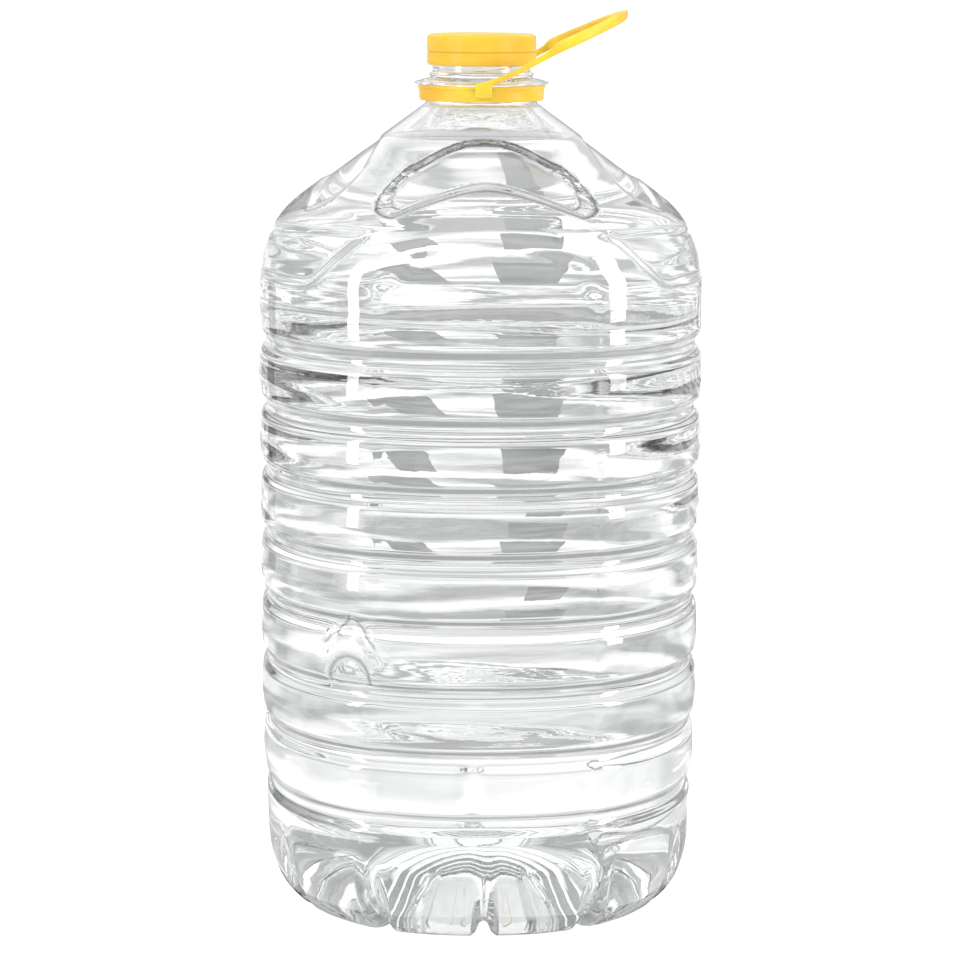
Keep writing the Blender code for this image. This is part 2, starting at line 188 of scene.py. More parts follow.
@dataclass(frozen=True)
class BottleForm:
    """The bottle's shape: its turned profile and every departure from the round."""

    radius: float = 0.1020
    squareness: float = 2.3
    square_up_to: float = 0.300
    round_from: float = 0.365
    rib_lowest: float = 0.0573
    rib_pitch: float = 0.0296
    rib_count: int = 8
    rib_flat: float = 0.0012
    rib_half: float = 0.0060
    rib_depth: float = 0.0025
    band_bulge: float = 0.0007
    shoulder_start: float = 0.2938
    shoulder_round: float = 0.0450
    shoulder_cone: float = 0.3302
    cone_foot: Pair = (0.0280, 0.3705)
    cone_slope: float = 0.7265
    shoulder_slant: float = 1.70
    crescent_half: float = 36.0
    crescent_depth: float = 0.0060
    side_crescent_depth: float = 0.0018
    top_rim: float = 0.0036
    low_rim: float = 0.0032
    leaf_depth: float = 0.0022
    panel_depth: float = 0.0009
    foot_count: int = 12
    foot_flat: float = 3.6
    groove_top: float = 0.0500
    groove_push: float = 0.0038
    groove_lift: float = 0.0060
    neck_radius: float = 0.0226
    neck_bore: float = 0.0202
    neck_root: float = 0.0250
    bead_radius: float = 0.0242
    bead_height: float = 0.3852
    flange_radius: float = 0.0310
    flange_under: float = 0.3808
    lip_height: float = 0.4016
    water_level: float = 0.3570

    def plain_radius(self, height: float) -> float:
        """Radius of the plain body at a height, before ribs and hollows."""
        if height >= self.shoulder_cone:
            return self.cone_foot[0] + (self.cone_foot[1] - height) / self.cone_slope
        if height >= self.shoulder_start:
            rise = height - self.shoulder_start
            return self.radius - self.shoulder_round + math.sqrt(self.shoulder_round**2 - rise**2)
        return self.radius - 0.0018 * (1.0 - smooth(height, 0.020, 0.120))

    def rib(self, height: float) -> float:
        """Depth of the rib groove at a height."""
        nearest = round((height - self.rib_lowest) / self.rib_pitch)
        nearest = min(max(nearest, 0), self.rib_count - 1)
        away = abs(height - self.rib_lowest - nearest * self.rib_pitch)
        return self.rib_depth * (1.0 - smooth(away, self.rib_flat, self.rib_half))

    def bulge(self, height: float) -> float:
        """How far a band between two ribs swells out at a height."""
        count = (height - self.rib_lowest) / self.rib_pitch
        if not 0.0 < count < self.rib_count - 1:
            return 0.0
        return self.band_bulge * math.sin(math.pi * count) ** 2

    def folded(self, angle: float) -> float:
        """The angle from the nearer of front and back, from 0 to 90 degrees."""
        away = abs(angle) % 180.0
        return min(away, 180.0 - away)

    def square_factor(self, angle: float, height: float) -> float:
        """How much wider than a round the body is in a direction, at a height."""
        side = math.radians(angle)
        power = abs(math.cos(side)) ** self.squareness + abs(math.sin(side)) ** self.squareness
        full = power ** (-1.0 / self.squareness) - 1.0
        span = self.round_from - self.square_up_to
        return 1.0 + full * min(max((self.round_from - height) / span, 0.0), 1.0)

    def crescent(self, angle: float, height: float) -> float:
        """Depth of the crescent hollow of the shoulder at a place."""
        if not 0.322 < height < 0.360:
            return 0.0
        turn = self.folded(angle)
        deepest = self.crescent_depth if turn < 45.0 else self.side_crescent_depth
        away = min(turn, 90.0 - turn)
        if away >= self.crescent_half:
            return 0.0
        step, slant, share = 0.5, self.shoulder_slant, 1.0
        arc = step * math.pi / 180.0 * self.plain_radius(height)
        for edge, way, rim in ((TOP_EDGE, -1.0, self.top_rim), (LOW_EDGE, 1.0, self.low_rim)):
            level = edge.height(away)
            steep = slant * (edge.height(min(away + step, self.crescent_half)) - level) / arc
            inside = slant * way * (height - level) / math.hypot(1.0, steep)
            share = min(share, chamfer(inside, rim))
        return deepest * share

    def leaf(self, angle: float, height: float) -> float:
        """Depth of the leaf-shaped hollow on each side of the shoulder."""
        away = self.folded(angle)
        if away <= 30.0 or not 0.285 < height < 0.330:
            return 0.0
        top = 0.3205 - 0.0030 * smooth(away, 45.0, 90.0)
        low = 0.2945 + 0.0245 * (1.0 - smooth(away, 29.0, 50.0))
        share = min(smooth(height, low, low + 0.0040), 1.0 - smooth(height, top - 0.0030, top))
        faint = 1.0 - 0.75 * smooth(away, 60.0, 90.0)
        return self.leaf_depth * share * smooth(away, 30.0, 34.0) * faint

    def panel(self, angle: float, height: float) -> float:
        """Depth of the arched panel on the front and back, which holds the ribs."""
        away = self.folded(angle) / 30.0
        rise = max(0.0, height - 0.285) / 0.0405
        edge = (away**2.6 + rise**2.6) ** (1.0 / 2.6)
        fade = smooth(height, 0.030, 0.052)
        return self.panel_depth * fade * (1.0 - smooth(edge, 0.86 - 0.26 * min(rise, 1.0), 1.0))

    def dent(self, angle: float, height: float) -> float:
        """Depth of the knock in the wall."""
        across = (angle - KNOCK.bearing) * math.radians(1.0) * self.radius
        if abs(across) > 0.026 or not 0.108 < height < 0.158:
            return 0.0
        roof = KNOCK.peak - KNOCK.slope * abs(across)
        fold = smooth(height, roof - 0.0080, roof) * (1.0 - smooth(height, roof, roof + 0.0022))
        fold *= 1.0 - smooth(abs(across), 0.010, 0.017)
        level = KNOCK.bowl_level
        bowl = math.hypot(across / KNOCK.bowl_wide, (height - level) / KNOCK.bowl_tall)
        ring = (1.0 - smooth(abs(bowl - 0.92), 0.0, 0.26)) * smooth(height, 0.1150, level)
        hollow = 1.0 - smooth(math.hypot(across / 0.018, (height - 0.1330) / 0.020), 0.25, 1.0)
        return 0.0012 * hollow + 0.0009 * fold + 0.0008 * ring

    def foot(self, angle: float, radius: float, height: float) -> Pair:
        """How far in and up a groove between two feet goes at a place."""
        pitch = 360.0 / self.foot_count
        away = abs((angle + pitch / 2.0) % pitch - pitch / 2.0)
        share = 1.0 - smooth(away, 0.6, self.foot_flat)
        if share <= 0.0:
            return 0.0, 0.0
        push = self.groove_push * share * (1.0 - smooth(height, 0.006, self.groove_top))
        low = 1.0 - smooth(height, 0.002, 0.034)
        lift = self.groove_lift * share * smooth(radius, 0.034, 0.058) * low
        return push * smooth(radius, 0.050, 0.070), lift

    def ripple(self, angle: float, height: float) -> float:
        """The faint unevenness of a blown wall, long round the body and short up it."""
        turn = math.radians(angle)
        wave = math.sin(height * 430.0 + 1.7 * math.sin(turn * 2.0 + 0.6))
        wave += 0.25 * math.sin(height * 910.0 + 2.3 * math.sin(turn * 3.0 + 1.9) + 0.8)
        wave += 1.2 * math.sin(height * 210.0 + 3.1 * math.sin(turn + 2.2))
        return 0.00007 * wave * smooth(height, 0.030, 0.060) * (1.0 - smooth(height, 0.35, 0.372))

    def place(self, angle: float, radius: float, height: float, own: float, up: float) -> Vector:
        """Where a point of the turned shape goes.

        Args:
            angle: Degrees from the front.
            radius: Radius of the outer side at this point of the profile.
            height: Height of the outer side at this point of the profile.
            own: The point's own radius.
            up: The point's own height.

        Returns:
            The point's place on the bottle.
        """
        hollow = self.crescent(angle, height) + self.leaf(angle, height)
        hollow += self.panel(angle, height) + self.dent(angle, height)
        hollow += self.ripple(angle, height)
        push, lift = self.foot(angle, radius, height)
        reach = own * self.square_factor(angle, height) - hollow - push
        return at_bearing(angle, reach, up + lift)

    def side_profile(self) -> Profile:
        """The outer side from the foot of the neck to the middle of the base."""
        height = self.cone_foot[1]
        line = [(self.plain_radius(height), height)]
        while height > 0.0520:
            if 0.3210 < height < 0.3600:
                height -= 0.00070
            elif height > 0.2700:
                height -= 0.00150
            else:
                near_rib = self.rib(height) > 0.0 or self.rib(height - 0.0020) > 0.0
                height -= 0.00105 if near_rib else 0.0022
            reach = self.plain_radius(height) - self.rib(height) + self.bulge(height)
            line.append((reach, height))
        base = beside(0.0, 0.0, (1004, 480), (1002, 400), (998, 290), (983, 200), (944, 103))
        base += beside(0.0, 0.0, (885, 36), (845, 12), (805, 1), (770, 0), (700, 0), (632, 0))
        base += beside(0.0, 0.0, (600, 14), (540, 60), (460, 124), (380, 180), (280, 226))
        base += beside(0.0, 0.0, (180, 258), (90, 275), (0, 280))
        return line + curve_through([line[-1]] + base, 0.0024)[1:]

    def neck_profile(self) -> Profile:
        """The outer side of the neck from the lip down to its root."""
        neck, bead, flange = self.neck_radius, self.bead_radius, self.flange_radius
        lip, at, under, root = self.lip_height, self.bead_height, self.flange_under, self.neck_root
        line = beside(neck, lip, (-12, 0), (-4, -2), (0, -8))
        line += [(neck, 0.3970), (neck, 0.3920), (neck, 0.3880)] + beside(neck, at, (0, 12), (3, 8))
        line += beside(bead, at, (-3, 5), (0, 1), (0, -3), (-4, -6))
        line += beside(neck, at, (6, -9), (12, -14)) + [(0.0270, under + 0.0022)]
        line += beside(flange, under, (-9, 13), (-2, 10), (0, 6), (-2, 2), (-8, 0))
        line += beside(root, under, (6, 0), (0, -6))
        return line + [(root, 0.3770), (root, 0.3738), (root + 0.0008, 0.3722)]

    def inset(self, line: Profile, distance: float) -> Profile:
        """A profile moved inwards, square to itself.

        Args:
            line: The profile, top to bottom.
            distance: How far it moves.

        Returns:
            The moved profile, point for point.
        """
        moved = []
        last = len(line) - 1
        for index, (radius, height) in enumerate(line):
            before, after = line[max(index - 1, 0)], line[min(index + 1, last)]
            along = Vector((after[0] - before[0], after[1] - before[1])).normalized()
            if radius < TINY:
                moved.append((0.0, height + distance))
            else:
                moved.append((radius + along.y * distance, height - along.x * distance))
        return moved


def spun(profile: Profile, steps: int, move: Mover | None = None) -> Mesh:
    """Turns a profile about the upright axis.

    Args:
        profile: Radius and height of each point.
        steps: Faces round the turn.
        move: Gives a point's new place from its angle, radius and height.

    Returns:
        The turned mesh, closed, with its faces outwards.
    """
    work = bmesh.new()
    rows = [work.verts.new((radius, 0.0, height)) for radius, height in profile]
    edges = [work.edges.new(pair) for pair in zip(rows, rows[1:])]
    bmesh.ops.spin(
        work,
        geom=rows + edges,
        cent=(0.0, 0.0, 0.0),
        axis=(0.0, 0.0, 1.0),
        angle=math.tau,
        steps=steps,
        use_merge=True,
    )
    poles = [vertex for vertex in work.verts if math.hypot(vertex.co.x, vertex.co.y) < TINY]
    if poles:
        bmesh.ops.remove_doubles(work, verts=poles, dist=0.000002)
    if move:
        for vertex in work.verts:
            radius = math.hypot(vertex.co.x, vertex.co.y)
            if radius > TINY:
                angle = math.degrees(math.atan2(vertex.co.x, -vertex.co.y))
                vertex.co = move(angle, radius, vertex.co.z)
    bmesh.ops.recalc_face_normals(work, faces=work.faces)
    work.normal_update()
    flow = 0.0
    for face in work.faces:
        flow += face.calc_area() * face.normal.dot(face.calc_center_median())
    if flow < 0.0:
        bmesh.ops.reverse_faces(work, faces=work.faces)
    return work


def rounded(work: Mesh, geom: list, offset: float, affect: str) -> None:
    """Rounds corners or edges of a shape by an offset, with three faces each."""
    bmesh.ops.bevel(
        work, geom=geom, offset=offset, segments=3, profile=0.5, affect=affect, material=-1
    )


def placed(name: str, data: bpy.types.ID) -> Thing:
    """An object of a mesh, light or camera, put in the scene."""
    made = bpy.data.objects.new(name, data)
    bpy.context.scene.collection.objects.link(made)
    return made


def piece(name: str, work: Mesh, sharp: float = 40.0) -> Thing:
    """Makes an object of a finished mesh.

    Args:
        name: The piece's name.
        work: Its mesh, which is freed.
        sharp: Angle in degrees above which an edge stays sharp.

    Returns:
        The object, at the origin.
    """
    mesh = bpy.data.meshes.new(name)
    work.to_mesh(mesh)
    work.free()
    mesh.shade_smooth()
    mesh.set_sharp_from_angle(angle=math.radians(sharp))
    return placed(name, mesh)


class NodeTree:
    """A node tree, with short ways to add and join nodes."""

    def __init__(self, tree: bpy.types.NodeTree) -> None:
        """Takes the tree to work in."""
        self.tree = tree

    def node(self, kind: str, **values: object) -> bpy.types.Node:
        """Adds a node.

        Args:
            kind: The node's type.
            **values: Properties by name, or inputs by name with _ for a space.

        Returns:
            The node.
        """
        made = self.tree.nodes.new(kind)
        for name, value in values.items():
            if hasattr(made, name):
                setattr(made, name, value)
            else:
                made.inputs[name.replace("_", " ")].default_value = value
        return made

    def join(self, source: Socket, target: Socket) -> None:
        """Links two sockets."""
        self.tree.links.new(source, target)

    def blend(self, source: Socket, target: Socket, stops: Stops) -> None:
        """Colours an input by a pattern.

        Args:
            source: The pattern, from 0 to 1.
            target: The input.
            stops: Places in the pattern, each with its colour.
        """
        ramp = self.node("ShaderNodeValToRGB")
        elements = ramp.color_ramp.elements
        for index, (at, color) in enumerate(stops):
            stop = elements[index] if index < 2 else elements.new(at)
            stop.position = at
            stop.color = (*color, 1.0)
        self.join(source, ramp.inputs["Fac"])
        self.join(ramp.outputs["Color"], target)


class ShaderTree(NodeTree):
    """A material's node tree."""

    def __init__(self, name: str) -> None:
        """Starts a material with an empty tree and its output."""
        self.material = bpy.data.materials.new(name)
        self.material.use_nodes = True
        super().__init__(self.material.node_tree)
        self.tree.nodes.clear()
        self.output = self.node("ShaderNodeOutputMaterial")

    def end(self, shader: Socket) -> bpy.types.Material:
        """Joins the finished shader to the output and gives the material."""
        self.join(shader, self.output.inputs["Surface"])
        return self.material

    def uneven(
        self, body: bpy.types.Node, scale: float, stretch: Triple, roughness: Pair
    ) -> bpy.types.Node:
        """Gives a body an uneven gloss.

        Args:
            body: The body's node.
            scale: How fine the unevenness is.
            stretch: How much finer it is along each axis.
            roughness: The glossiest and the dullest roughness.

        Returns:
            The unevenness, whose Shade and Relief can be used too.
        """
        made = self.node("ShaderNodeGroup", node_tree=uneven_group(), Scale=scale, Stretch=stretch)
        low, high = roughness
        limits = {"From_Min": 0.35, "From_Max": 0.65, "To_Min": low, "To_Max": high}
        gloss = self.node("ShaderNodeMapRange", **limits)
        self.join(made.outputs["Gloss"], gloss.inputs["Value"])
        self.join(gloss.outputs["Result"], body.inputs["Roughness"])
        return made

    def press(self, relief: Socket, body: bpy.types.Node, strength: float, deep: float) -> None:
        """Presses a relief into a body's surface, by a strength and a depth in metres."""
        bump = self.node("ShaderNodeBump", Strength=strength, Distance=deep)
        self.join(relief, bump.inputs["Height"])
        self.join(bump.outputs["Normal"], body.inputs["Normal"])


def uneven_group() -> bpy.types.ShaderNodeTree:
    """The shared effect of moulded plastic: soft colour clouds, gloss change and fine relief.

    Returns:
        A node group with Scale and Stretch in, Shade, Gloss and Relief out.
    """
    name = "Moulded_Unevenness"
    if name in bpy.data.node_groups:
        return bpy.data.node_groups[name]
    group = bpy.data.node_groups.new(name, "ShaderNodeTree")
    for label in ("Scale", "Stretch", "Shade", "Gloss", "Relief"):
        way = "INPUT" if label in ("Scale", "Stretch") else "OUTPUT"
        kind = "NodeSocketVector" if label == "Stretch" else "NodeSocketFloat"
        group.interface.new_socket(label, in_out=way, socket_type=kind)
    tree = NodeTree(group)
    came, goes = tree.node("NodeGroupInput"), tree.node("NodeGroupOutput")
    place, mapping = tree.node("ShaderNodeTexCoord"), tree.node("ShaderNodeMapping")
    tree.join(place.outputs["Object"], mapping.inputs["Vector"])
    tree.join(came.outputs["Stretch"], mapping.inputs["Scale"])
    for outlet, detail, rough, times in [
        ("Shade", 3.0, 0.45, 1.0),
        ("Gloss", 2.0, 0.50, 2.7),
        ("Relief", 2.0, 0.55, 6.0),
    ]:
        noise = tree.node("ShaderNodeTexNoise", Detail=detail, Roughness=rough)
        scale = tree.node("ShaderNodeMath", operation="MULTIPLY")
        scale.inputs[1].default_value = times
        tree.join(came.outputs["Scale"], scale.inputs[0])
        tree.join(scale.outputs[0], noise.inputs["Scale"])
        tree.join(mapping.outputs["Vector"], noise.inputs["Vector"])
        tree.join(noise.outputs["Fac"], goes.inputs[outlet])
    return group


def painted_rim_shade_group() -> bpy.types.ShaderNodeTree:
    """Painted shade: dark lines along the steep rims of the crescents and of the knock, standing in
    for the dark that refraction shows there.

    Returns:
        A node group with Line out, 1 on the painted shade lines and 0 elsewhere.
    """
    group = bpy.data.node_groups.new("Crescent_Rim_Lines", "ShaderNodeTree")
    group.interface.new_socket("Line", in_out="OUTPUT", socket_type="NodeSocketFloat")
    tree = NodeTree(group)

    def calc(operation: str, *values: Value) -> Socket:
        """One sum of the group, with sockets or numbers for values."""
        made = tree.node("ShaderNodeMath", operation=operation)
        for slot, value in zip(made.inputs, values):
            if isinstance(value, Socket):
                tree.join(value, slot)
            else:
                slot.default_value = value
        return made.outputs[0]

    minus, times, over = (partial(calc, name) for name in ("SUBTRACT", "MULTIPLY", "DIVIDE"))

    def pick(share: Value, low: Value, high: Value) -> Socket:
        """The second value where share is 1, and the first where it is 0."""
        return calc("MULTIPLY_ADD", share, minus(high, low), low)

    def length(first: Value, second: Value) -> Socket:
        """The length of two sides square to each other."""
        return calc("SQRT", calc("ADD", calc("POWER", first, 2.0), calc("POWER", second, 2.0)))

    def rounded_end(edge: CrescentEdge) -> Socket:
        """Distance inside the rounded end of a crescent's edge."""
        tall = abs(edge.end_tall)
        across = over(minus(away, edge.turn), edge.end_wide)
        along = over(minus(height, edge.level), tall)
        return times(minus(1.0, length(across, along)), tall)

    def bent(edge: CrescentEdge) -> Socket:
        """How far a crescent's edge has dropped from its middle."""
        share = calc("POWER", over(away, edge.turn), edge.power)
        return times(share, edge.drop)

    def line(inside: Value, at: float, half: float, strength: float) -> Socket:
        """A soft line at a distance inside an edge, with its half width and its strength."""
        off = over(calc("ABSOLUTE", minus(inside, at)), half)
        return times(calc("MAXIMUM", minus(1.0, off), 0.0), strength)

    place, split = tree.node("ShaderNodeTexCoord"), tree.node("ShaderNodeSeparateXYZ")
    tree.join(place.outputs["Object"], split.inputs["Vector"])
    height = split.outputs["Z"]
    side, depth = (calc("ABSOLUTE", split.outputs[axis]) for axis in ("X", "Y"))
    turn = times(calc("ARCTAN2", side, depth), math.degrees(1.0))
    away = calc("MINIMUM", turn, minus(90.0, turn))
    under_top = minus(minus(TOP_EDGE.middle, bent(TOP_EDGE)), height)
    past_top = calc("GREATER_THAN", away, TOP_EDGE.turn)
    upper = pick(past_top, under_top, rounded_end(TOP_EDGE))
    over_low = calc("ADD", minus(height, LOW_EDGE.middle), bent(LOW_EDGE))
    end = pick(calc("GREATER_THAN", height, LOW_EDGE.level), rounded_end(LOW_EDGE), 0.02)
    lower = pick(calc("GREATER_THAN", away, LOW_EDGE.turn), over_low, end)
    inside = times(calc("MINIMUM", upper, lower), 1.45)
    # Painted shade lines just outside each crescent's edge and along the inner edge of its bevel,
    # fainter on the side crescents.
    drawn = calc("MAXIMUM", line(inside, -0.0003, 0.0014, 1.0), line(inside, 0.0036, 0.0009, 0.85))
    faint = calc("MULTIPLY_ADD", calc("GREATER_THAN", turn, 45.0), -0.65, 1.0)
    rims = times(drawn, faint)

    # Painted shade along the knock's peaked fold and half-round crease.
    front = times(split.outputs["Y"], -1.0)
    bearing = calc("ARCTAN2", split.outputs["X"], front)
    across = times(minus(bearing, math.radians(KNOCK.bearing)), 0.100)
    out = calc("ABSOLUTE", across)
    roof = minus(calc("ADD", height, times(out, KNOCK.slope)), KNOCK.peak)
    peak = times(line(roof, 0.0, 0.0017, 0.75), calc("LESS_THAN", out, 0.0125))
    wide = over(across, KNOCK.bowl_wide)
    tall = over(minus(height, KNOCK.bowl_level), KNOCK.bowl_tall)
    crease = line(length(wide, tall), 1.0, 0.15, 0.75)
    crease = times(crease, calc("GREATER_THAN", height, 0.1195))
    knock = times(calc("MAXIMUM", peak, crease), calc("GREATER_THAN", front, 0.0))

    tree.join(calc("MAXIMUM", rims, knock), tree.node("NodeGroupOutput").inputs["Line"])
    return group


@dataclass(frozen=True)
class ClearFinish:
    """A clear, smooth finish for plastic or water."""

    name: str
    color: Color
    ior: float
    scale: float
    stretch: Triple = (1.0, 1.0, 1.0)
    relief: float = 0.0
    roughness: Pair = (0.0, 0.003)
    light_passed: float = 0.96
    deepest_bounce: float = 10.5
    deep_passed: float = 0.75
    # Painted shade colour for the rim lines, or None for no painted lines.
    painted_shade_color: Color | None = None

    def build(self) -> bpy.types.Material:
        """Builds the material: a clear body whose faint relief bends what shows through it, with
        painted shade lines tinted in when a painted shade colour is given.
        """
        tree = ShaderTree(self.name)
        body = tree.node("ShaderNodeBsdfPrincipled", IOR=self.ior, Transmission_Weight=1.0)
        body.inputs["Base Color"].default_value = (*self.color, 1.0)
        uneven = tree.uneven(body, self.scale, self.stretch, self.roughness)
        # Painted shade: the rim lines darken the base colour towards the painted shade colour.
        if self.painted_shade_color:
            drawn = tree.node("ShaderNodeGroup", node_tree=painted_rim_shade_group())
            mix = tree.node("ShaderNodeMix", data_type="RGBA")
            for socket in mix.inputs:
                if socket.type == "RGBA":
                    color = self.painted_shade_color if socket.name == "B" else self.color
                    socket.default_value = (*color, 1.0)
            tree.join(drawn.outputs["Line"], mix.inputs[0])
            colors = [socket for socket in mix.outputs if socket.type == "RGBA"]
            tree.join(colors[0], body.inputs["Base Color"])
        if self.relief > 0.0:
            tree.press(uneven.outputs["Relief"], body, 1.0, self.relief)
        path = tree.node("ShaderNodeLightPath")
        soft = tree.node("ShaderNodeMath", operation="MAXIMUM")
        tree.join(path.outputs["Is Shadow Ray"], soft.inputs[0])
        tree.join(path.outputs["Is Diffuse Ray"], soft.inputs[1])
        deep = tree.node("ShaderNodeMath", operation="GREATER_THAN")
        deep.inputs[1].default_value = self.deepest_bounce
        tree.join(path.outputs["Ray Depth"], deep.inputs[0])
        shader = body.outputs["BSDF"]
        lit = self.straight_through(tree, shader, soft.outputs["Value"], self.light_passed)
        return tree.end(self.straight_through(tree, lit, deep.outputs["Value"], self.deep_passed))

    def straight_through(
        self, tree: ShaderTree, shader: Socket, share: Socket, passed: float
    ) -> Socket:
        """Lets some rays go straight on.

        Args:
            tree: The material's tree.
            shader: What the other rays see.
            share: Which rays go straight on, 0 or 1.
            passed: How much light they keep at each surface.

        Returns:
            The mixed shader.
        """
        clear = tree.node("ShaderNodeBsdfTransparent", Color=(passed, passed, passed, 1.0))
        mix = tree.node("ShaderNodeMixShader")
        tree.join(share, mix.inputs["Fac"])
        tree.join(shader, mix.inputs[1])
        tree.join(clear.outputs["BSDF"], mix.inputs[2])
        return mix.outputs["Shader"]


@dataclass(frozen=True)
class YellowFinish:
    """The warm yellow of the cap and handle, semi-gloss and faintly uneven."""

    name: str
    light: Color = (0.790, 0.505, 0.030)
    deep: Color = (0.755, 0.415, 0.016)
    roughness: Pair = (0.30, 0.42)
    scale: float = 60.0

    def build(self) -> bpy.types.Material:
        """Builds the material: two yellows in soft clouds, with a fine moulded grain."""
        tree = ShaderTree(self.name)
        body = tree.node("ShaderNodeBsdfPrincipled", IOR=1.50, Subsurface_Weight=0.12)
        body.inputs["Subsurface Radius"].default_value = (0.004, 0.002, 0.0006)
        uneven = tree.uneven(body, self.scale, (1.0, 1.0, 1.0), self.roughness)
        yellows = ((0.30, self.deep), (0.62, self.light))
        tree.blend(uneven.outputs["Shade"], body.inputs["Base Color"], yellows)
        tree.press(uneven.outputs["Relief"], body, 0.35, 0.0002)
        return tree.end(body.outputs["BSDF"])


@dataclass
class Bottle:
    """The clear shell with its neck."""

    form: BottleForm = field(default_factory=BottleForm)
    steps: int = 272

    def lines(self, layer: Layer) -> tuple[Profile, dict]:
        """A layer's side profile, and a table from its points to the outer side's points."""
        outer = self.form.side_profile()
        line = self.form.inset(outer, layer.value) if layer.value else outer
        table = {
            (round(own / TINY), round(up / TINY)): key for (own, up), key in zip(line, outer)
        }
        return line, table

    def mover(self, table: dict) -> Mover:
        """A function that puts each turned point of the table's profiles in its place."""

        def move(angle: float, own: float, up: float) -> Vector:
            """A point of the wall in its place, or a point of the neck as it is."""
            base_own, base_up = round(own / TINY), round(up / TINY)
            for key in [(base_own + a, base_up + b) for a in (0, 1, -1) for b in (0, 1, -1)]:
                if key in table:
                    radius, height = table[key]
                    return self.form.place(angle, radius, height, own, up)
            return at_bearing(angle, own, up)

        return move

    def build_outside(self) -> Thing:
        """Builds the outer side of the wall, from the lip down to the middle of the base."""
        line, table = self.lines(Layer.OUTER)
        work = spun(self.form.neck_profile() + line, self.steps, self.mover(table))
        return piece("bottle_outside", work, 50.0)

    def build_inside(self) -> Thing:
        """Builds the inner side of the wall, from the lip down, facing into the bottle."""
        line, table = self.lines(Layer.INNER)
        bore, lip = self.form.neck_bore, self.form.lip_height
        neck = [(self.form.neck_radius - 0.0012, lip), (bore + 0.0005, lip), (bore, lip - 0.0006)]
        neck += [(bore, 0.3900), (bore, 0.3790)]
        neck += [(0.0208, 0.3764), (0.0222, 0.3744), (0.0245, 0.3728)]
        work = spun(neck + line, self.steps, self.mover(table))
        bmesh.ops.reverse_faces(work, faces=work.faces)
        return piece("bottle_inside", work, 50.0)


@dataclass
class Water:
    """The water, whose skin lies just inside the wall."""

    bottle: Bottle

    def build(self) -> Thing:
        """Builds the water: it follows the wall, and its flat top rises a little at the wall."""
        line, table = self.bottle.lines(Layer.WATER)
        level = self.bottle.form.water_level
        wet = [point for point in line if point[1] < level]
        edge = wet[0][0]
        top = [(0.0, level)]
        top += [(edge * share, level) for share in (0.25, 0.5, 0.7, 0.85, 0.94)]
        top += [(edge - 0.0016, level + 0.0001), (edge - 0.0008, level + 0.0003)]
        top += [(self.bottle.form.plain_radius(level + 0.0007) - 0.0006, level + 0.0006)]
        work = spun(top + wet, self.bottle.steps, self.bottle.mover(table))
        return piece("water_body", work, 50.0)


@dataclass
class Cap:
    """The screw cap with its grip ribs, band line and tamper band."""

    radius: float = 0.0251
    top: float = 0.4038
    bottom: float = 0.3894
    band_line: float = 0.3955
    lid: float = 0.0019
    inside: float = 0.0229
    grips: int = 96
    grip_depth: float = 0.00009
    steps: int = 576

    def profile(self) -> Profile:
        """The cap's section, from the middle of its top round to the middle of its inside."""
        r, top, low, line = self.radius, self.top, self.bottom, self.band_line
        outer = [(0.0, top), (0.010, top), (0.018, top)]
        outer += beside(r, top, (-36, 0), (-34, 0), (-20, -1), (-12, -4), (-5, -9), (-1, -16))
        outer += beside(r, top, (0, -26), (0, -40))
        outer += beside(r, line, (0, 12), (0, 6), (-1, 3), (-4, 1), (-4, -1), (-1, -3), (0, -7))
        outer += beside(r, low, (0, 30), (-1, 10), (-6, 2), (-12, 0))
        inner = beside(self.inside, low, (4, 0), (0, 4))
        inner += beside(self.inside, top - self.lid, (0, -4), (-4, 0))
        return outer + inner + [(0.0, top - self.lid)]

    def move(self, angle: float, radius: float, height: float) -> Vector:
        """Gives the outer side its shallow grip ribs."""
        rise = smooth(height, self.band_line + 0.0005, self.band_line + 0.0015)
        rise *= 1.0 - smooth(height, self.top - 0.0026, self.top - 0.0012)
        if radius < self.radius - 0.0010:
            rise = 0.0
        wave = 0.5 - 0.5 * math.cos(math.radians(angle) * self.grips)
        return at_bearing(angle, radius - self.grip_depth * rise * wave, height)

    def build(self) -> Thing:
        """Builds the cap."""
        return piece("screw_cap", spun(self.profile(), self.steps, self.move), 35.0)


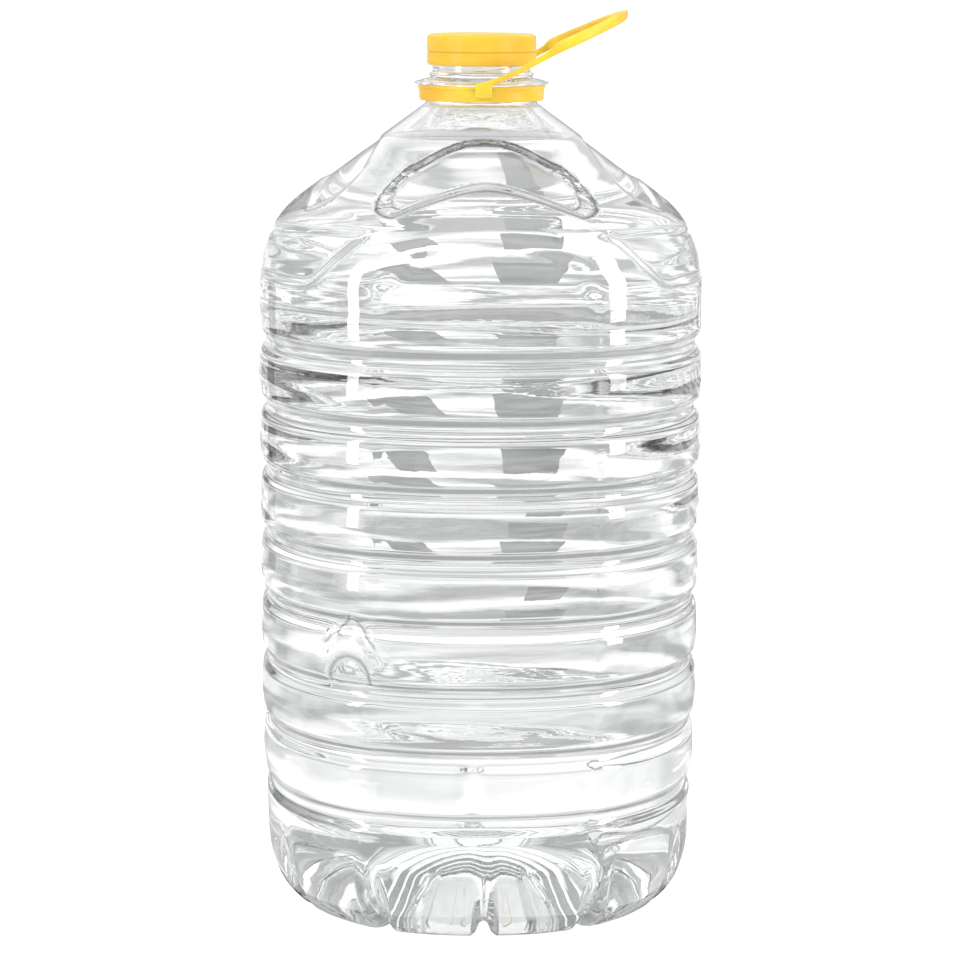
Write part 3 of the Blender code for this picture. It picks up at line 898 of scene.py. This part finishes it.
@dataclass
class Handle:
    """The carry handle: neck ring, lugs, straps and round grip in one moulding."""

    ring_top: float = 0.3805
    ring_bottom: float = 0.3735
    ring_outer_top: float = 0.0295
    ring_outer_bottom: float = 0.0286
    ring_inside: float = 0.0253
    strap_middle: float = 0.0322
    strap_width: float = 0.0018
    grip_width: float = 0.0050
    bend: float = 0.0330
    tip: float = 0.0669
    lug_half: float = 0.0038
    lug_bottom: float = 0.3756
    lug_inside: float = 0.0275
    lug_step: float = 0.0313
    low_line: Curve = (
        *((-0.01, 0.3775), (0.0030, 0.3812), (0.0124, 0.3848)),
        *((0.0245, 0.3910), (0.0330, 0.3954), (0.0670, 0.4106)),
    )
    deep_line: Curve = (
        *((-0.01, 0.0025), (0.0160, 0.0025), (0.0250, 0.0032), (0.0302, 0.0036)),
        *((0.0314, 0.0046), (0.0334, 0.0053), (0.0609, 0.0050), (0.0645, 0.0046)),
        (0.0670, 0.0038),
    )

    def ring(self) -> Mesh:
        """The ring that sits under the neck's flange."""
        top, low = self.ring_top, self.ring_bottom
        wide, slim, hole = self.ring_outer_top, self.ring_outer_bottom, self.ring_inside
        section = beside(hole, top, (0, -3), (3, 0))
        section += beside(wide, top, (-4, 0), (-1, -2), (0, -5), (-1, -11), (-5, -15), (-7, -22))
        section += beside(slim, low, (1, 20), (0, 7), (-2, 2), (-7, 0))
        section += beside(hole, low, (3, 0), (0, 3)) + beside(hole, top, (0, -3))
        return spun(section, 180)

    def between(self, line: Curve, at: float) -> float:
        """Reads a line's value at a distance from the axis."""
        for (x0, y0), (x1, y1) in zip(line, line[1:]):
            if at <= x1:
                return y0 + (y1 - y0) * max(0.0, (at - x0) / (x1 - x0))
        return line[-1][1]

    def path(self) -> list[Stop]:
        """Points along the bail in plan, each with its outward direction and its width."""
        stops: list[Stop] = []
        straight = [-0.0036, 0.0, 0.004, 0.009, 0.014, 0.019, 0.024, 0.027, 0.029, 0.0302]
        straight += [0.0308, 0.0314, 0.0322]
        grip, arc_steps = self.grip_width, 48
        outer = self.strap_middle + self.strap_width / 2.0
        for x in straight:
            width = self.strap_width + (grip - self.strap_width) * smooth(x, 0.0296, 0.0330)
            here = Vector((x, -(outer - width / 2.0), 0.0))
            stops.append((here, Vector((0.0, -1.0, 0.0)), width))
        long_way = self.tip - self.bend - grip / 2.0
        wide_way = outer - grip / 2.0
        for step in range(arc_steps + 1):
            turn = math.pi * (step / arc_steps - 0.5)
            here = Vector((self.bend + long_way * math.cos(turn), wide_way * math.sin(turn), 0.0))
            out = Vector((wide_way * math.cos(turn), long_way * math.sin(turn), 0.0)).normalized()
            stops.append((here, out, grip))
        mirror = Vector((1.0, -1.0, 1.0))
        front = stops[: len(straight)]
        return stops + [(here * mirror, out * mirror, width) for here, out, width in front[::-1]]

    def bail(self) -> Mesh:
        """The bail: a rounded section carried along its path by extrusion."""
        work = bmesh.new()
        bmesh.ops.create_grid(work, x_segments=1, y_segments=1, size=0.5)
        rounded(work, list(work.verts), 0.30, "VERTICES")
        face = work.faces[:][0]
        ring = list(face.verts)
        shape = [(vertex.co.x, vertex.co.y) for vertex in ring]
        stops = self.path()
        self.lay(ring, shape, stops[0])
        bmesh.ops.reverse_faces(work, faces=[face])
        edges = list(face.edges)
        for stop in stops[1:]:
            grown = bmesh.ops.extrude_edge_only(work, edges=edges)
            moved = [item for item in grown["geom"] if isinstance(item, bmesh.types.BMVert)]
            edges = [item for item in grown["geom"] if isinstance(item, bmesh.types.BMEdge)]
            partner = {}
            for vertex in moved:
                for edge in vertex.link_edges:
                    other = edge.other_vert(vertex)
                    if other in ring:
                        partner[other] = vertex
            ring = [partner[vertex] for vertex in ring]
            wanted = set(ring)
            edges = [edge for edge in edges if set(edge.verts) <= wanted]
            self.lay(ring, shape, stop)
        bmesh.ops.contextual_create(work, geom=edges)
        bmesh.ops.recalc_face_normals(work, faces=work.faces)
        return work

    def lay(self, ring: list[bmesh.types.BMVert], shape: Profile, stop: Stop) -> None:
        """Puts one ring of the bail's section in place on its path."""
        middle, out, width = stop
        low = self.between(self.low_line, middle.x)
        deep = self.between(self.deep_line, middle.x)
        for vertex, (across, along) in zip(ring, shape):
            place = middle + out * (across * width)
            rise = self.between(self.low_line, place.x) - low
            vertex.co = Vector((place.x, place.y, low + rise + deep * (0.5 + along)))

    def lug(self, side: float) -> Mesh:
        """A block that joins the ring to a strap."""
        work = bmesh.new()
        bmesh.ops.create_cube(work, size=1.0)
        outer = self.strap_middle + self.strap_width / 2.0
        deep, tall = outer - self.lug_inside, self.ring_top + 0.0016 - self.lug_bottom
        bmesh.ops.scale(work, verts=work.verts, vec=(2.0 * self.lug_half, deep, tall))
        rounded(work, list(work.edges), 0.0006, "EDGES")
        across = side * (outer + self.lug_inside) / 2.0
        middle = Vector((0.0, across, self.lug_bottom + tall / 2.0))
        bmesh.ops.translate(work, verts=work.verts, vec=middle)
        for vertex in work.verts:
            if abs(vertex.co.y) < self.lug_step:
                vertex.co.z = min(vertex.co.z, self.ring_top - 0.0001)
        return work

    def build(self) -> Thing:
        """Builds the handle, joining its shapes into one moulding."""
        made = piece("carry_handle", self.ring(), 35.0)
        parts = [piece("bail_shape", self.bail()), piece("lug_shape_front", self.lug(-1.0))]
        parts.append(piece("lug_shape_back", self.lug(1.0)))
        for part in parts:
            join = made.modifiers.new(part.name, "BOOLEAN")
            join.operation = "UNION"
            join.solver = "EXACT"
            join.object = part
        graph = bpy.context.evaluated_depsgraph_get()
        mesh = bpy.data.meshes.new_from_object(made.evaluated_get(graph))
        made.modifiers.clear()
        made.data = mesh
        for part in parts:
            bpy.data.objects.remove(part, do_unlink=True)
        mesh.shade_smooth()
        mesh.set_sharp_from_angle(angle=math.radians(35.0))
        return made


@dataclass(frozen=True)
class Studio:
    """The pale floor, the soft light round the bottle and the camera."""

    camera_distance: float = 1.3028
    camera_height: float = 0.4327
    camera_turn: float = -2.0
    camera_tilt: float = 10.3
    camera_roll: float = 0.3
    camera_shift: float = 0.0006
    lens: float = 105.45
    sky: Curve = (
        *((0.00, 0.42), (0.10, 0.42), (0.18, 0.64)),
        *((0.30, 1.00), (0.45, 1.32), (0.99, 1.32)),
    )
    floor_gap: float = 0.0008
    under_shade: float = 0.07
    sheet_dark: float = 0.50
    sheet_light: float = 1.20
    block_shade: float = 0.34
    blocks: tuple[tuple[float, float, float, float], ...] = (
        (0.110, 0.230, 1.30, 1.75),
        (-0.095, 0.040, 1.30, 1.75),
        (0.080, 0.140, 0.95, 1.15),
        (-0.055, 0.025, 0.95, 1.15),
        (-0.043, 0.018, 0.80, 0.90),
        (-0.025, 0.007, 0.62, 0.72),
    )
    sheet_scale: float = 6.5

    def rectangle(self, work: Mesh, width: float, depth: float) -> list[bmesh.types.BMVert]:
        """Adds a flat rectangle about the middle, and gives its corners."""
        grid = bmesh.ops.create_grid(work, x_segments=1, y_segments=1, size=0.5)
        bmesh.ops.scale(work, verts=grid["verts"], vec=(width, depth, 1.0))
        return grid["verts"]

    def disc(self, name: str, radius: float, segments: int, drop: float) -> Thing:
        """A round sheet, lower than the ground by a share of the floor's gap."""
        work = bmesh.new()
        bmesh.ops.create_circle(work, cap_ends=True, radius=radius, segments=segments)
        bmesh.ops.translate(work, verts=work.verts, vec=(0.0, 0.0, -self.floor_gap * drop))
        return piece(name, work)

    def floor(self) -> None:
        """The floor, a broad pale sheet."""
        made = self.disc("pale_floor", 80.0, 96, 1.0)
        tree = ShaderTree("Pale_Floor")
        body = tree.node("ShaderNodeBsdfPrincipled", Roughness=0.9, Specular_IOR_Level=0.1)
        noise = tree.node("ShaderNodeTexNoise", Scale=3.0, Detail=2.0)
        greys = ((0.0, grey(0.925)), (1.0, grey(0.945)))
        tree.blend(noise.outputs["Fac"], body.inputs["Base Color"], greys)
        made.data.materials.append(tree.end(body.outputs["BSDF"]))

    def card(
        self, name: str, turn: float, away: float, width: float, span: Sequence[float], shade: float
    ) -> None:
        """An upright card that the camera doesn't see, which shows only through the bottle.

        Args:
            name: The card's name.
            turn: Its direction in degrees from straight behind the bottle.
            away: Its distance from the bottle's axis.
            width: Its width.
            span: Heights of its lower and upper edge.
            shade: How light it is, from 0 to 1.
        """
        low, high = span
        work = bmesh.new()
        self.rectangle(work, width, high - low)
        upright = Matrix.Rotation(math.pi / 2.0, 3, "X")
        round_axis = Matrix.Rotation(math.radians(-turn), 3, "Z")
        bmesh.ops.rotate(work, verts=work.verts, matrix=upright)
        bmesh.ops.translate(work, verts=work.verts, vec=(0.0, away, (low + high) / 2.0))
        bmesh.ops.rotate(work, verts=work.verts, matrix=round_axis)
        self.hide_from_camera(piece(name, work), 0.92 * shade, 1.08 * shade)

    def hide_from_camera(
        self, made: Thing, dark: float, light: float, scale: float = 4.0, edges: Pair = (0.35, 0.65)
    ) -> None:
        """Gives a card its cloudy shade, and shows it only through and in the bottle.

        Args:
            made: The card.
            dark: Its darkest shade.
            light: Its lightest shade.
            scale: How fine its clouds are.
            edges: Where in the noise the dark ends and the light starts.
        """
        tree = ShaderTree(made.name)
        body = tree.node("ShaderNodeEmission")
        place, mapping = tree.node("ShaderNodeTexCoord"), tree.node("ShaderNodeMapping")
        mapping.inputs["Scale"].default_value = (0.40, 1.0, 1.0)
        noise = tree.node("ShaderNodeTexNoise", Scale=scale, Detail=3.0, Roughness=0.45)
        tree.join(place.outputs["Object"], mapping.inputs["Vector"])
        tree.join(mapping.outputs["Vector"], noise.inputs["Vector"])
        shades = ((edges[0], grey(dark)), (edges[1], grey(light)))
        tree.blend(noise.outputs["Fac"], body.inputs["Color"], shades)
        made.data.materials.append(tree.end(body.outputs["Emission"]))
        made.visible_camera = made.visible_diffuse = made.visible_shadow = False

    def sheet(self) -> None:
        """The mottled table sheet that shows only through the bottle, in light and grey patches."""
        made = self.disc("mottled_sheet", 40.0, 64, 0.75)
        self.hide_from_camera(
            made, self.sheet_dark, self.sheet_light, self.sheet_scale, (0.43, 0.57)
        )

    def grey_blocks(self) -> None:
        """Grey rectangles flat behind the bottle, each from its x and y limits."""
        work = bmesh.new()
        for left, right, near, far in self.blocks:
            corners = self.rectangle(work, right - left, far - near)
            middle = ((left + right) / 2.0, (near + far) / 2.0, -self.floor_gap / 2.0)
            bmesh.ops.translate(work, verts=corners, vec=middle)
        shade = self.block_shade
        self.hide_from_camera(piece("grey_blocks", work), 0.85 * shade, 1.25 * shade, 9.0)

    def top_light(self) -> None:
        """A broad even light from above, which whitens the floor."""
        data = bpy.data.lights.new("top_light", "SUN")
        data.energy = 0.5
        data.angle = 1.0
        lamp = placed("top_light", data)
        lamp.visible_glossy = lamp.visible_transmission = False

    def contact_shade(self) -> None:
        """The darker floor right under the bottle, where little light comes."""
        made, shade = self.disc("contact_shade", 0.103, 64, 0.5), self.under_shade
        self.hide_from_camera(made, 0.7 * shade, 1.3 * shade, 30.0)

    def world(self) -> None:
        """The soft light from all round, grey near the ground and brighter higher up."""
        world = bpy.data.worlds.new("Soft_Studio")
        bpy.context.scene.world = world
        world.use_nodes = True
        tree = NodeTree(world.node_tree)
        back = world.node_tree.nodes["Background"]
        back.inputs["Strength"].default_value = 1.0
        place, split = tree.node("ShaderNodeTexCoord"), tree.node("ShaderNodeSeparateXYZ")
        tree.join(place.outputs["Generated"], split.inputs["Vector"])
        stops = [(height, grey(shade)) for height, shade in self.sky]
        tree.blend(split.outputs["Z"], back.inputs["Color"], stops)

    def strip(self, name: str, turn: float, away: float, width: float, power: float) -> None:
        """A tall narrow soft light.

        Args:
            name: The light's name.
            turn: Its direction in degrees round from the front.
            away: Its distance from the bottle's axis.
            width: Its width.
            power: Its power in watts.
        """
        data = bpy.data.lights.new(name, "AREA")
        data.shape = "RECTANGLE"
        data.size = width
        data.size_y = 1.3
        data.energy = power
        lamp = placed(name, data)
        lamp.location = at_bearing(turn, away, 0.55)
        aim = Vector((0.0, 0.0, 0.25)) - lamp.location
        lamp.rotation_euler = aim.to_track_quat("-Z", "Y").to_euler()
        lamp.visible_camera = False

    def camera(self) -> None:
        """The camera, at the height and distance from which the bottle is seen."""
        data = bpy.data.cameras.new("Camera")
        data.lens = self.lens
        data.sensor_width = 36.0
        data.shift_x = self.camera_shift
        data.clip_start = 0.05
        data.clip_end = 60.0
        made = placed("Camera", data)
        made.location = at_bearing(self.camera_turn, self.camera_distance, self.camera_height)
        tilt = Matrix.Rotation(math.radians(90.0 - self.camera_tilt), 4, "X")
        spin = Matrix.Rotation(math.radians(self.camera_turn), 4, "Z")
        roll = Matrix.Rotation(math.radians(self.camera_roll), 4, "Z")
        made.rotation_euler = (spin @ tilt @ roll).to_euler()
        bpy.context.scene.camera = made

    def light_paths(self) -> None:
        """Lets light cross every wall of bottle and water."""
        cycles = bpy.context.scene.cycles
        cycles.max_bounces = cycles.transmission_bounces = cycles.glossy_bounces = 16
        cycles.diffuse_bounces = 1
        cycles.transparent_max_bounces = 32
        cycles.caustics_reflective = cycles.caustics_refractive = False
        bpy.context.scene.view_settings.view_transform = "Standard"

    def build(self) -> None:
        """Sets up the whole studio."""
        self.world()
        self.floor()
        self.sheet()
        self.grey_blocks()
        self.contact_shade()
        self.top_light()
        self.strip("strip_left", -59.0, 1.5, 0.20, 5.0)
        self.strip("strip_right", 60.0, 1.5, 0.36, 7.0)
        self.card("card_left", -45.0, 0.95, 0.20, (0.0, 0.30), 0.13)
        for name, span, shade in (("far", (0.0, 0.33), 0.46), ("high", (0.33, 0.60), 0.12)):
            for side, turn in (("left", -92.0), ("right", 92.0)):
                self.card(f"card_{name}_{side}", turn, 1.3, 0.7, span, shade)
        self.camera()
        self.light_paths()


def dress(made: Thing, node: str, finish: bpy.types.Material) -> None:
    """Gives a piece its finish and puts it in the place of its CAD node.

    Args:
        made: The piece.
        node: The node that it stands for.
        finish: Its material.
    """
    made.data.materials.clear()
    made.data.materials.append(finish)
    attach(made, "root")
    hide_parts(node)
    LOG.info("piece %s: %d faces", made.name, len(made.data.polygons))


def main() -> None:
    """Builds the bottle, the water, the cap and the handle, then the studio."""
    plastic = ClearFinish("Clear_Plastic", (0.985, 0.99, 0.99), 1.55, 12.0, (1.0, 1.0, 5.0))
    water = ClearFinish("Drinking_Water", (0.985, 0.99, 0.992), 1.333, 8.0)
    bottle = Bottle()
    # The outside carries the painted shade lines of the crescent rims and the knock.
    outer = replace(plastic, name="Clear_Plastic_Outside", relief=0.00001, painted_shade_color=PAINTED_RIM_SHADE)
    dress(bottle.build_outside(), "bottle", outer.build())
    inner = replace(plastic, name="Clear_Plastic_Inside")
    dress(bottle.build_inside(), "bottle", inner.build())
    dress(Water(bottle).build(), "water", water.build())
    cap_finish = YellowFinish("Yellow_Cap_Plastic")
    handle_finish = YellowFinish("Yellow_Handle_Plastic", light=(0.830, 0.600, 0.030))
    cap, handle = Cap().build(), Handle().build()
    dress(cap, "cap", cap_finish.build())
    dress(handle, "handle", handle_finish.build())
    cap.visible_glossy = handle.visible_glossy = False
    cap.visible_transmission = False
    Studio().build()
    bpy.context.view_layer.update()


if __name__ == "__main__":
    main()
